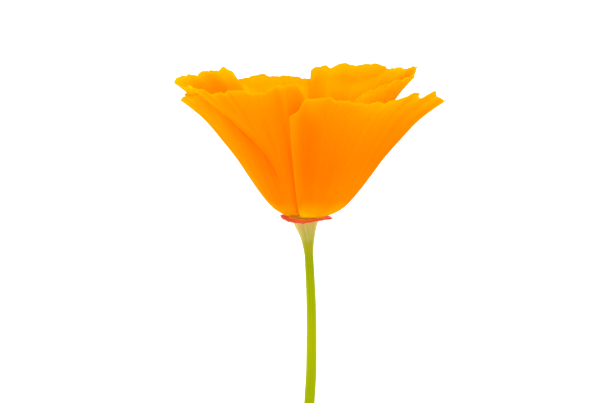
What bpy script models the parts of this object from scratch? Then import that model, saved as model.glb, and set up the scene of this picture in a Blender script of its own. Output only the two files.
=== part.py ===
"""A cut California poppy, lying on a flat surface: four petals in two whorls round a torus with
a red rim, stamens and a pistil inside, and a bare stem. Metres, +Z up.

Each piece is modelled in the flower's own frame: the torus's centre is the origin, z runs up the
flower's axis from the stem to the mouth, x is to the right, and y is away from the side that faces up
when the flower lies down. Azimuths run round that axis: 0 faces up when the flower lies down, and 90 is
to the right. flower_matrix() turns that frame so that the bloom rests on the rims of the two petals
under it, and the stem comes down to the surface at its cut end.
"""

import math

import bpy
import numpy as np
from mathutils import Matrix, Vector

MM = 0.001

# How the flower lies.
AXIS_RISE = math.radians(11.5)  # the flower's axis above the surface
TORUS_AT = Vector((-0.8 * MM, 27.6 * MM, 18.6 * MM))  # the torus's centre in the part's frame

# Petals, in millimetres and degrees.
PETAL_LENGTH = 42.0
PETAL_THICKNESS = 0.6
LAYER_STEP = 0.45  # from the middle of the two layers to the middle of a petal
CLAW_RADIUS = 2.5  # where a petal leaves the torus
CLAW_HEIGHT = 1.05
PETAL_COLUMNS = 32
PETAL_ROWS = 16
PRESS_SOFTNESS = 0.6  # the surface starts to bend a petal this far above it
# The cup's curve from the claw to the rim: (share of the length, share of the radius, share of the height).
PETAL_CURVE = [
    (0.0, 0.0, 0.0), (0.06, 0.085, 0.006), (0.12, 0.156, 0.036), (0.17, 0.214, 0.085), (0.28, 0.315, 0.214),
    (0.39, 0.4, 0.342), (0.5, 0.49, 0.48), (0.63, 0.605, 0.629), (0.8, 0.766, 0.819), (0.93, 0.922, 0.947),
    (1.0, 1.0, 1.0), (1.05, 1.056, 1.038),
]

# Torus, in millimetres: a thin red rim round a boss, which the petals' claws stand against.
RIM_RADIUS = 6.1
RIM_THICKNESS = 0.6
BOSS_RADIUS = 2.2
BOSS_TOP = 1.9
SEAT_GAP = 0.3  # between one piece and the piece that it is seated on
# The height of the rim's edge: (azimuth in degrees, millimetres).
RIM_EDGE = [
    (-180, 0.1), (-135, 0.35), (-90, 0.3), (-50, -0.1), (-15, -0.35), (35, 0.3), (90, -0.15), (180, 0.1),
]

# Stem, in millimetres, measured down from the torus.
STEM_LENGTH = 92.0
STEM_SIDES = 16
STEM_RINGS = 34
STEM_RIDGE = 0.05  # how far every second edge stands out, as a share of the radius
STEM_RADII = [
    (0, 2.9), (0.5, 2.55), (1.0, 2.35), (3.2, 1.85), (5.6, 1.38), (8, 1.13), (12, 1.05), (20, 1.02),
    (30, 1.08), (42, 1.14), (92, 1.22),
]
STEM_SIDE = [(0, 0.3), (7.6, 0.75), (19, 1.06), (35, 1.27), (50, 0.9), (70, -0.3), (92, -2.4)]
STEM_END_SLOPE = 0.1
STEM_END_PRESS = 0.94  # the height of the cut end's middle, as a share of its radius

# Stamens and pistil, in millimetres. A whorl is (count, radius at the foot, degrees out, length).
STAMEN_WHORLS = [(9, 1.2, 10.0, 9.0), (13, 1.45, 21.0, 10.2), (16, 1.7, 31.0, 11.0)]
STAMEN_RADII = [(0, 0.32), (0.36, 0.3), (0.44, 0.56), (0.75, 0.58), (0.93, 0.46), (1.0, 0.2)]
STAMEN_SIDES = 5
STAMEN_RING = (0.85, 2.15, 0.7)  # inner radius, outer radius, thickness
PISTIL_RADII = [(0, 0.5), (0.15, 0.52), (0.45, 0.75), (0.8, 0.6), (1.0, 0.48)]
PISTIL_HEIGHT = 10.0
STIGMA_LOBES = [(12, 5.2), (88, 4.2), (160, 5.6), (235, 4.0), (300, 4.8)]  # (azimuth, length)
STIGMA_OUT = 52.0  # degrees from the axis
STIGMA_RADIUS = 0.34
ORANGE = (0.95, 0.36, 0.01)
ANTHER_ORANGE = (0.93, 0.42, 0.03)
CORAL = (0.78, 0.2, 0.11)
STEM_GREEN = (0.4, 0.5, 0.05)
STYLE_GREEN = (0.62, 0.66, 0.2)


def clear_scene():
    for old in list(bpy.data.objects):
        bpy.data.objects.remove(old)


def material(name, colour, roughness):
    made = bpy.data.materials.new(name)
    made.use_nodes = True
    shader = made.node_tree.nodes["Principled BSDF"]
    shader.inputs["Base Color"].default_value = (*colour, 1.0)
    shader.inputs["Roughness"].default_value = roughness
    shader.inputs["Metallic"].default_value = 0.0
    return made


def smooth_step(x, start, end):
    t = np.clip((np.asarray(x, float) - start) / (end - start), 0.0, 1.0)
    return t * t * (3.0 - 2.0 * t)


def smooth_curve(points):
    """A smooth function through (x, y) points which never passes above or below its neighbours."""
    xs = np.array([p[0] for p in points], float)
    ys = np.array([p[1] for p in points], float)
    rises = np.diff(ys) / np.diff(xs)
    before, after = rises[:-1], rises[1:]
    same_way = before * after > 0
    total = np.where(same_way, before + after, 1.0)
    inner = np.where(same_way, 2 * before * after / total, 0.0)
    slopes = np.concatenate([rises[:1], inner, rises[-1:]])

    def value(x):
        x = np.clip(np.asarray(x, float), xs[0], xs[-1])
        i = np.clip(np.searchsorted(xs, x) - 1, 0, len(xs) - 2)
        width = xs[i + 1] - xs[i]
        t = (x - xs[i]) / width
        return (
            (2 * t**3 - 3 * t**2 + 1) * ys[i]
            + (t**3 - 2 * t**2 + t) * width * slopes[i]
            + (3 * t**2 - 2 * t**3) * ys[i + 1]
            + (t**3 - t**2) * width * slopes[i + 1]
        )

    return value


# One entry for each petal. Angles in degrees, lengths in millimetres.
#   left, right: (share of its length, azimuth) of its two margins
#   cup: (azimuth, radius, height) of the curved surface that the petal is cut from, at its full length
#   edge: (azimuth, how much of that length is missing at the rim)
#   layer: (azimuth, +1 in the outer layer to -1 in the inner one)
#   folds: ((share of its length, azimuth) along it, half-width, how far it stands out)
PETALS = {
    "petal_inner_left": {
        "left": [(0, -139), (1, -139)],
        "right": [(0, 9), (1, 9)],
        "cup": [
            (-139, 27.6, 31.2), (-125, 29.0, 31.6), (-108, 30.3, 31.8), (-90, 30.9, 31.4), (-75, 30.5, 31.9),
            (-60, 29.8, 32.4), (-30, 28.2, 33.6), (-8, 26.8, 34.9), (9, 26.5, 34.9),
        ],
        "edge": [
            (-139, 1.6), (-136, 0.3), (-132, 0.7), (-127, 0.9), (-121, 0.8), (-115, 1.7), (-110, 1.4),
            (-104, 0.7), (-96, 0.5), (-88, 0.9), (-78, 1.4), (-70, 0.7), (-57, 0.9), (-50, 2.4),
            (-42, 1.8), (-36, 0.5), (-30, 0.8), (-22, 1.9), (-15, 1.1), (-8, 0.2), (-5, 0.5), (-1, 3.2),
            (4, 6.5), (9, 10.0),
        ],
        "layer": [(-139, -1), (-31, -1), (-27, 0), (-22, 0), (-17, -1), (9, -1)],
        "folds": [
            ([(0, -29), (0.3, -30), (0.5, -35), (0.7, -45), (0.85, -55), (1, -63)], 6, -1.3),
            ([(0, -112), (1, -124)], 7, -0.8),
            ([(0, 2), (1, -5)], 6, -0.5),
        ],
    },
    "petal_inner_right": {
        "left": [(0, 36), (1, 36)],
        "right": [(0, 178), (1, 178)],
        "cup": [
            (36, 20.4, 33.0), (50, 20.6, 33.2), (66, 22.0, 33.6), (80, 23.8, 34.0), (90, 24.5, 34.2),
            (105, 27.1, 33.4), (120, 29.4, 32.8), (135, 31.6, 32.0), (150, 33.0, 31.4), (165, 29.6, 31.2),
            (182, 27.6, 30.8),
        ],
        "edge": [
            (36, 9.0), (39, 6.6), (43, 4.2), (49, 2.3), (58, 1.8), (66, 1.6), (75, 1.1), (84, 1.4),
            (97, 1.5), (105, 1.7), (112, 1.4), (118, 1.7), (123, 1.4), (127, 2.0), (131, 1.6), (136, 1.4),
            (142, 1.6), (146, 0.9), (151, 0.4), (158, 0.9), (163, 0.8), (168, 2.0), (172, 1.3),
            (175, 1.6), (177, 2.2), (178, 3.2),
        ],
        "layer": [(36, -1), (120, -1), (136, 1), (152, 1), (167, -1), (182, -1)],
        "folds": [
            ([(0, 95), (1, 92)], 8, 1.6), ([(0, 70), (1, 66)], 9, -0.5),
            ([(0, 140), (1, 144)], 8, 0.5),
        ],
    },
    "petal_outer_right": {
        "left": [(0, -14), (0.15, -14), (0.35, -13), (0.55, -12), (0.75, -10.5), (0.9, -9.5), (1, -9)],
        "right": [(0, 118), (1, 118)],
        "cup": [
            (-9, 26.6, 33.1), (30, 28.9, 32.0), (60, 30.2, 31.4), (74, 31.6, 30.1), (84, 32.4, 28.5),
            (100, 32.4, 28.3), (118, 31.8, 28.4),
        ],
        "edge": [
            (-9, 8.6), (-7.5, 7.5), (-4.5, 6.6), (-2.8, 5.2), (-1.4, 2.6), (0.5, 0.6), (5, 0.1), (10, -0.4),
            (15, 0.1), (20, 1.4), (30, 2.4), (37, 2.5), (44, 1.4), (53, 1.0), (55, 0.7), (56.2, -0.1), (57.6, -0.9),
            (59, -0.1), (61, 1.0), (62.5, 2.0), (64, 2.0), (65.6, 0.4), (67, -0.6), (69.5, -0.6), (70.5, 0.8),
            (73, 1.0), (78, 1.0), (84, 1.0), (90, 1.8), (96, 2.8), (104, 4.2), (112, 5.8), (118, 9.0),
        ],
        "layer": [(-9, 1), (118, 1)],
        "folds": [
            ([(0, 84), (1, 76)], 8, 0.3), ([(0, 66), (1, 60)], 9, -0.4),
            ([(0, -6), (1, -4)], 4, 0.35), ([(0, 7), (1, 6)], 8, -0.15),
        ],
    },
    "petal_outer_left": {
        "left": [(0, -190), (1, -190)],
        "right": [(0, -31), (0.3, -32), (0.5, -38), (0.7, -48), (0.85, -57), (1, -64)],
        "cup": [
            (-190, 27.5, 29.0), (-175, 27.0, 29.0), (-160, 28.8, 29.2), (-148, 31.2, 28.7),
            (-125, 31.0, 28.8), (-100, 29.3, 28.3), (-88, 28.8, 28.4), (-80, 28.6, 29.2), (-73, 28.8, 30.0),
            (-66, 29.2, 30.8), (-50, 29.2, 31.7), (-31, 28.4, 32.8),
        ],
        "edge": [
            (-190, 6.0), (-186, 2.6), (-180, 1.5), (-174, 1.0), (-171, 0.4), (-163, 1.1), (-158, 0.4),
            (-150, 1.3), (-143, 1.8), (-130, 1.0), (-118, 1.4), (-106, 0.9), (-95, 1.0), (-85, 0.6),
            (-80, 0.3), (-74, 0.3), (-70, 0.6), (-67, 1.4),
        ],
        "layer": [(-190, 1), (-100, 1), (-80, 1.25), (-60, 1), (-31, 1)],
        "folds": [
            ([(0, -29), (0.3, -30), (0.5, -35), (0.7, -45), (0.85, -55), (1, -63)], 6, -1.3),
            ([(0, -88), (1, -84)], 8, 0.6), ([(0, -104), (1, -102)], 8, -0.5),
            ([(0, -160), (1, -156)], 9, 0.4),
        ],
    },
}


def petal_middle(petal, across, up):
    """Points in millimetres, in the flower's frame, on a petal's middle surface, with their azimuths.
    across runs from 0 to 1 between its margins, and up from 0 at the claw to 1 at the rim."""
    left = smooth_curve(petal["left"])
    right = smooth_curve(petal["right"])
    rim_azimuth = left(1.0) + (right(1.0) - left(1.0)) * across
    share = up * (1.0 - smooth_curve(petal["edge"])(rim_azimuth) / PETAL_LENGTH)
    azimuth = left(share) + (right(share) - left(share)) * across
    full_radius = smooth_curve([(at, radius) for at, radius, _ in petal["cup"]])(azimuth)
    full_height = smooth_curve([(at, height) for at, _, height in petal["cup"]])(azimuth)
    out = smooth_curve([(at, radius) for at, radius, _ in PETAL_CURVE])(share)
    rise = smooth_curve([(at, height) for at, _, height in PETAL_CURVE])(share)
    radius = CLAW_RADIUS + (full_radius - CLAW_RADIUS) * out
    height = CLAW_HEIGHT + (full_height - CLAW_HEIGHT) * rise
    for path, half_width, amount in petal["folds"]:
        line = smooth_curve(path)(share)
        fold = amount * np.exp(-(((azimuth - line) / half_width) ** 2))
        radius = radius + fold * smooth_step(share, 0.1, 0.9)
    turned = np.radians(azimuth)
    return np.stack([radius * np.sin(turned), -radius * np.cos(turned), height], axis=1), azimuth


def layer_at(petal, azimuth):
    """+1 where the petal is in the outer layer, -1 where it is in the inner one, and eased between."""
    steps = petal["layer"]
    layer = np.full_like(azimuth, float(steps[0][1]))
    for (start, before), (end, after) in zip(steps, steps[1:]):
        layer += (after - before) * smooth_step(azimuth, start, end)
    return layer


def rest_on_surface(points, level):
    """Presses a sheet's middle points, in metres in the part's frame, down to level above the surface."""
    soft = PRESS_SOFTNESS * MM
    above = points[:, 2] - level
    eased = np.where(above < soft, np.maximum(above + soft, 0.0) ** 2 / (4 * soft), above)
    points[:, 2] = eased + level
    return points


def grid_normals(points, columns, rows):
    grid = points.reshape(rows + 1, columns + 1, 3)
    normal = np.cross(np.gradient(grid, axis=1), np.gradient(grid, axis=0)).reshape(-1, 3)
    return normal / np.linalg.norm(normal, axis=1)[:, None]


def mesh_from(name, points, faces):
    mesh = bpy.data.meshes.new(name)
    mesh.from_pydata([tuple(p) for p in points], [], faces)
    mesh.update()
    return mesh


def thick_sheet(name, middle, normal, columns, rows, thickness):
    """A closed mesh from a grid of points, with both faces split into triangles the same way."""
    count = len(middle)
    points = np.concatenate([middle + normal * thickness / 2, middle - normal * thickness / 2])
    faces = []
    for row in range(rows):
        for column in range(columns):
            a = row * (columns + 1) + column
            b = a + 1
            c = a + columns + 2
            d = a + columns + 1
            faces += [(a, b, c), (a, c, d)]
            faces += [(count + a, count + c, count + b), (count + a, count + d, count + c)]
    first_row = list(range(columns + 1))
    right = [row * (columns + 1) + columns for row in range(1, rows + 1)]
    last_row = [rows * (columns + 1) + column for column in range(columns - 1, -1, -1)]
    left = [row * (columns + 1) for row in range(rows - 1, 0, -1)]
    outline = first_row + right + last_row + left
    for a, b in zip(outline, outline[1:] + outline[:1]):
        faces += [(a, count + a, b), (b, count + a, count + b)]
    return mesh_from(name, points, faces)


def tube(name, rings):
    """A closed mesh through rings of points, each from one cap to the other with the same count."""
    sides = len(rings[0])
    points = [p for ring in rings for p in ring]
    faces = []
    for row in range(len(rings) - 1):
        for side in range(sides):
            a = row * sides + side
            b = row * sides + (side + 1) % sides
            faces += [(a, b, b + sides), (a, b + sides, a + sides)]
    faces.append(tuple(range(sides - 1, -1, -1)))
    last = (len(rings) - 1) * sides
    faces.append(tuple(range(last, last + sides)))
    return mesh_from(name, points, faces)


def rings_along(centres, radii, sides, ridge=0.0):
    """Rings of points round a line of centres. Every second point stands out by ridge."""
    rings = []
    across = Vector((1.0, 0.0, 0.0))
    for i, centre in enumerate(centres):
        ahead = (centres[min(i + 1, len(centres) - 1)] - centres[max(i - 1, 0)]).normalized()
        across = (across - ahead * across.dot(ahead)).normalized()
        up = ahead.cross(across)
        ring = []
        for side in range(sides):
            angle = 2 * math.pi * side / sides
            reach = radii[i] * (1 + ridge * (1 if side % 2 else -1))
            ring.append(centre + (across * math.cos(angle) + up * math.sin(angle)) * reach)
        rings.append(ring)
    return rings


def flower_matrix():
    """From the flower's frame to the part's frame."""
    return Matrix.Translation(TORUS_AT) @ Matrix.Rotation(AXIS_RISE - math.pi / 2, 4, "X")


def to_part(points):
    """Points in millimetres in the flower's frame, as metres in the part's frame."""
    matrix = np.array(flower_matrix())
    return points * MM @ matrix[:3, :3].T + matrix[:3, 3]


def add_object(name, mesh, finish):
    mesh.materials.append(finish)
    made = bpy.data.objects.new(name, mesh)
    bpy.context.scene.collection.objects.link(made)
    mesh.shade_smooth()
    mesh.set_sharp_from_angle(angle=math.radians(50))
    return made


def add_in_flower(name, mesh, finish):
    """Adds an object whose mesh is in millimetres, in the flower's frame."""
    mesh.transform(Matrix.Scale(MM, 4))
    made = add_object(name, mesh, finish)
    made.matrix_world = flower_matrix()
    return made


def make_petal(name, petal, finish):
    across = np.tile(np.linspace(0, 1, PETAL_COLUMNS + 1), PETAL_ROWS + 1)
    up = np.repeat(np.linspace(0, 1, PETAL_ROWS + 1), PETAL_COLUMNS + 1)
    points, azimuth = petal_middle(petal, across, up)
    layer = layer_at(petal, azimuth)
    outward = grid_normals(points, PETAL_COLUMNS, PETAL_ROWS)
    placed = to_part(points + outward * (LAYER_STEP * layer)[:, None])
    half = PETAL_THICKNESS / 2 * MM
    # Where both layers reach the surface, the inner petal lies on the outer one.
    level = half + np.where(across > 0.5, (1.0 - layer) * LAYER_STEP * MM, 0.0)
    placed = rest_on_surface(placed, level)
    normal = grid_normals(placed, PETAL_COLUMNS, PETAL_ROWS)
    lies_flat = placed[:, 2] <= half * 1.001
    normal[lies_flat] = (0.0, 0.0, -1.0)
    mesh = thick_sheet(name, placed, normal, PETAL_COLUMNS, PETAL_ROWS, PETAL_THICKNESS * MM)
    return add_object(name, mesh, finish)


def make_torus(finish):
    """The red rim, turned round a boss, with its edge raised and lowered round the flower."""
    sides = 36
    edge = smooth_curve(RIM_EDGE)
    under = -RIM_THICKNESS
    profile = [
        (2.6, under), (4.2, under), (RIM_RADIUS - 0.25, under + 0.02), (RIM_RADIUS, -RIM_THICKNESS / 2),
        (RIM_RADIUS - 0.25, -0.02), (4.2, 0.0), (BOSS_RADIUS + 0.15, 0.0), (BOSS_RADIUS, 0.25),
        (BOSS_RADIUS, BOSS_TOP),
    ]
    rings = []
    for radius, height in profile:
        ring = []
        for side in range(sides):
            azimuth = 360.0 * side / sides
            signed = azimuth - 360.0 if azimuth > 180.0 else azimuth
            rise = edge(signed) * smooth_step(radius, 3.0, RIM_RADIUS)
            turned = math.radians(azimuth)
            ring.append(Vector((radius * math.sin(turned), -radius * math.cos(turned), height + rise)))
        rings.append(ring)
    return add_in_flower("torus", tube("torus", rings), finish)


def make_stem(finish):
    """The funnel under the torus and the stem, in one piece, down to the cut end on the surface."""
    top = flower_matrix() @ Vector((0.0, 0.0, -(RIM_THICKNESS + SEAT_GAP) * MM))
    reach = STEM_LENGTH * MM * math.cos(AXIS_RISE)
    side = smooth_curve(STEM_SIDE)
    radius = smooth_curve(STEM_RADII)
    end_height = STEM_RADII[-1][1] * STEM_END_PRESS * MM
    centres = []
    radii = []
    for ring in range(STEM_RINGS + 1):
        t = (ring / STEM_RINGS) ** 1.5
        height = (
            (2 * t**3 - 3 * t**2 + 1) * top.z
            - (t**3 - 2 * t**2 + t) * reach * math.tan(AXIS_RISE)
            + (3 * t**2 - 2 * t**3) * end_height
            - (t**3 - t**2) * reach * STEM_END_SLOPE
        )
        down = t * STEM_LENGTH
        x = top.x + float(side(down)) * MM
        centres.append(Vector((x, top.y - t * reach, height)))
        radii.append(float(radius(down)) * MM)
    rings = rings_along(centres, radii, STEM_SIDES, STEM_RIDGE)
    rings = [[Vector((p.x, p.y, max(p.z, 0.0))) for p in ring] for ring in rings]
    return add_object("stem", tube("stem", rings), finish)


def out_from_axis(azimuth, lean, radius, height, length):
    """The foot and the direction of something that grows outwards from the flower's axis."""
    turned = math.radians(azimuth)
    outward = Vector((math.sin(turned), -math.cos(turned), 0.0))
    foot = outward * radius + Vector((0.0, 0.0, height))
    direction = outward * math.sin(math.radians(lean)) + Vector((0.0, 0.0, math.cos(math.radians(lean))))
    return foot, direction * length


def make_stamen(name, azimuth, lean, radius, height, length):
    foot, reach = out_from_axis(azimuth, lean, radius, height, length)
    shape = smooth_curve(STAMEN_RADII)
    centres = [foot + reach * at for at, _ in STAMEN_RADII]
    radii = [float(shape(at)) for at, _ in STAMEN_RADII]
    return tube(name, rings_along(centres, radii, STAMEN_SIDES))


def union_of(body, extras, finish):
    """Joins objects to body with one Boolean union, and removes them."""
    group = bpy.data.collections.new(body.name + "_extras")
    bpy.context.scene.collection.children.link(group)
    for extra in extras:
        bpy.context.scene.collection.objects.unlink(extra)
        group.objects.link(extra)
    union = body.modifiers.new("union", "BOOLEAN")
    union.operation = "UNION"
    union.solver = "MANIFOLD"
    union.operand_type = "COLLECTION"
    union.collection = group
    bpy.context.view_layer.update()
    graph = bpy.context.evaluated_depsgraph_get()
    joined = bpy.data.meshes.new_from_object(body.evaluated_get(graph))
    body.modifiers.remove(union)
    body.data = joined
    joined.materials.clear()
    joined.materials.append(finish)
    for extra in extras:
        bpy.data.objects.remove(extra)
    bpy.data.collections.remove(group)
    return body


def make_stamens(finish):
    """Three whorls of stamens on the narrow ring that they grow from."""
    inner, outer, thickness = STAMEN_RING
    low = BOSS_TOP + SEAT_GAP
    sides = 28
    profile = [(outer, low), (outer, low + thickness), (inner, low + thickness), (inner, low)]
    points = []
    faces = []
    for side in range(sides):
        angle = 2 * math.pi * side / sides
        points += [Vector((r * math.cos(angle), r * math.sin(angle), z)) for r, z in profile]
    for side in range(sides):
        a = side * 4
        b = (side + 1) % sides * 4
        for edge in range(4):
            after = (edge + 1) % 4
            faces.append((a + edge, b + edge, b + after, a + after))
    ring = add_in_flower("stamens", mesh_from("stamens", points, faces), finish)
    random = np.random.default_rng(7)
    made = []
    for whorl, (count, radius, lean, length) in enumerate(STAMEN_WHORLS):
        for i in range(count):
            azimuth = 360.0 * (i + 0.33 * whorl) / count + random.uniform(-3, 3)
            tilt = lean + random.uniform(-1.5, 1.5)
            name = f"stamen_{whorl}_{i}"
            mesh = make_stamen(name, azimuth, tilt, radius, low + thickness / 2, length)
            made.append(add_in_flower(name, mesh, finish))
    return union_of(ring, made, finish)


def make_pistil(finish):
    """The ovary and its style, with thin stigma lobes that spread from the top."""
    low = BOSS_TOP + SEAT_GAP
    shape = smooth_curve(PISTIL_RADII)
    ups = np.linspace(0, 1, 9)
    centres = [Vector((0.0, 0.0, low + PISTIL_HEIGHT * up)) for up in ups]
    rings = rings_along(centres, [float(shape(up)) for up in ups], 10)
    body = add_in_flower("pistil", tube("pistil", rings), finish)
    lobes = []
    for azimuth, length in STIGMA_LOBES:
        foot, reach = out_from_axis(azimuth, STIGMA_OUT, 0.0, low + PISTIL_HEIGHT - 0.35, length)
        rise = Vector((0.0, 0.0, length * 0.12))
        centres = [foot + reach * t + rise * math.sin(math.pi * t) for t in np.linspace(0, 1, 6)]
        radii = [STIGMA_RADIUS * (1 - 0.35 * t) for t in np.linspace(0, 1, 6)]
        mesh = tube(f"lobe_{azimuth}", rings_along(centres, radii, 6))
        lobes.append(add_in_flower(f"lobe_{azimuth}", mesh, finish))
    return union_of(body, lobes, finish)


def main():
    clear_scene()
    orange = material("petal", ORANGE, 0.5)
    for name, petal in PETALS.items():
        make_petal(name, petal, orange)
    make_torus(material("torus", CORAL, 0.5))
    make_stem(material("stem", STEM_GREEN, 0.45))
    make_stamens(material("stamen", ANTHER_ORANGE, 0.7))
    make_pistil(material("pistil", STYLE_GREEN, 0.5))


main()
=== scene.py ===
"""Looks for the cut California poppy: fine petals, torus, stem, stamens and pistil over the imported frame.

Lengths in the tables are millimetres and angles are degrees. The flower's own frame has its origin at the
torus's centre, z up its axis to the mouth, x to the right, and azimuth 0 on the side that faces up.
"""

import math

import bpy
import numpy as np
from mathutils import Matrix, Vector


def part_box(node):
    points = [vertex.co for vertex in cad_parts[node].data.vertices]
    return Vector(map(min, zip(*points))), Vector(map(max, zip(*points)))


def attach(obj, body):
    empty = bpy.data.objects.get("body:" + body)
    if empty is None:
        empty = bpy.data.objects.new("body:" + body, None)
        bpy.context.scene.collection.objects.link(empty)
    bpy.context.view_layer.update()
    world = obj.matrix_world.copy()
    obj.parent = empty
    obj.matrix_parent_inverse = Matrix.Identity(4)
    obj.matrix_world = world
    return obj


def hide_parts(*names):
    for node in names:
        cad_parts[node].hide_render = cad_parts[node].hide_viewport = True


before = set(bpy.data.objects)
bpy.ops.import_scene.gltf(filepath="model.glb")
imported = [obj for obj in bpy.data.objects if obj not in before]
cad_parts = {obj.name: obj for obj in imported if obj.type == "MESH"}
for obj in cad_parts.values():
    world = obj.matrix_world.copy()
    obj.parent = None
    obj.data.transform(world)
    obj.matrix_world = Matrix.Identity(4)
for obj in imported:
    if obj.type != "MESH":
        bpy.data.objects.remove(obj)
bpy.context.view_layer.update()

MM = 0.001
SHARP_ANGLE = 50.0  # an edge that turns by more than this is shaded as a crease

# How the flower lies: the same values as its solids.
AXIS_RISE = math.radians(11.5)
TORUS_AT = Vector((-0.8 * MM, 27.6 * MM, 18.6 * MM))

# Petals.
PETAL_SEED = 11
PETAL_SHIFT = 11.0  # from one petal's place in the noise of its colours to the next one's
PETAL_LENGTH = 42.0
SHEET = 0.2  # a petal's thickness
RIM_SHEET = 0.08  # its thickness at its rim and margins
RIM_TAPER = 0.2  # the share of its length over which it thins to its rim
MARGIN_TAPER = 5.0  # the degrees over which it thins to a margin
LAYER_STEP = 0.45  # from the middle of the two layers to the middle of a petal
CLAW_RADIUS = 2.5  # where a petal leaves the torus
CLAW_HEIGHT = 1.05
PETAL_COLUMNS = 170
PETAL_ROWS = 100
PRESS_SOFTNESS = 0.6  # the surface starts to bend a petal this far above it

# Waves round a petal: (length in degrees, size) of each, and the shares of its length where they set in.
RAGGED_RIM = [(7.3, 0.12), (4.1, 0.1), (2.7, 0.08), (1.9, 0.06)]
RUFFLE = [(13.0, 0.16), (8.0, 0.14), (5.0, 0.1)]
RUFFLE_SETS_IN = (0.7, 1.02)
SWELL = [(11.0, 0.05), (6.0, 0.04)]
SWELL_SETS_IN = (0.15, 0.5)

# The shares of a petal's length where its folds, the painted shade in their creases and its tones of
# painted light and shade set in, and where the painted light and shade at its claw fades.
FOLD_SETS_IN = (0.1, 0.9)
CREASE_SHADE_SETS_IN = (0.05, 0.3)
PAINTED_LIGHT_SETS_IN = (0.1, 0.4)
CLAW_PAINTED_LIGHT_FADES = (0.1, 0.22)

# Noise in a petal's colour: (how fine it is round a degree of the petal, and along its whole length).
VEINS = (0.62, 1.4)
STREAKS = (0.07, 0.9)
PATCHES = (0.03, 3.0)

# How far below the rim its pale line starts and is at its palest, and how pale it gets. The pale line is
# partly the thin rim's own colour and partly painted light, the glow of a thin edge lit through.
PALE_RIM_STARTS = 1.8
PALE_RIM_FULL = 0.1
PALE_RIM_SHARE = 0.5

# A tone of painted light and shade is kept in a UV map: NO_TONE for none, and TONE_STEP more or less for a
# tone of 1 or -1.
NO_TONE = 0.5
TONE_STEP = 0.25

# (share of its length, radius, height) of a petal from its claw to its rim, as shares of the way.
PETAL_CURVE = [
    (0.0, 0.0, 0.0), (0.06, 0.085, 0.006), (0.12, 0.156, 0.036), (0.17, 0.214, 0.085), (0.28, 0.315, 0.214),
    (0.39, 0.4, 0.342), (0.5, 0.49, 0.48), (0.63, 0.605, 0.629), (0.8, 0.766, 0.819), (0.93, 0.922, 0.947),
    (1.0, 1.0, 1.0), (1.05, 1.056, 1.038),
]

# The front groove, where two petals meet: (share of their length, azimuth).
GROOVE = [(0, -29), (0.3, -30), (0.5, -37), (0.7, -53), (0.85, -65), (1, -72)]
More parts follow.
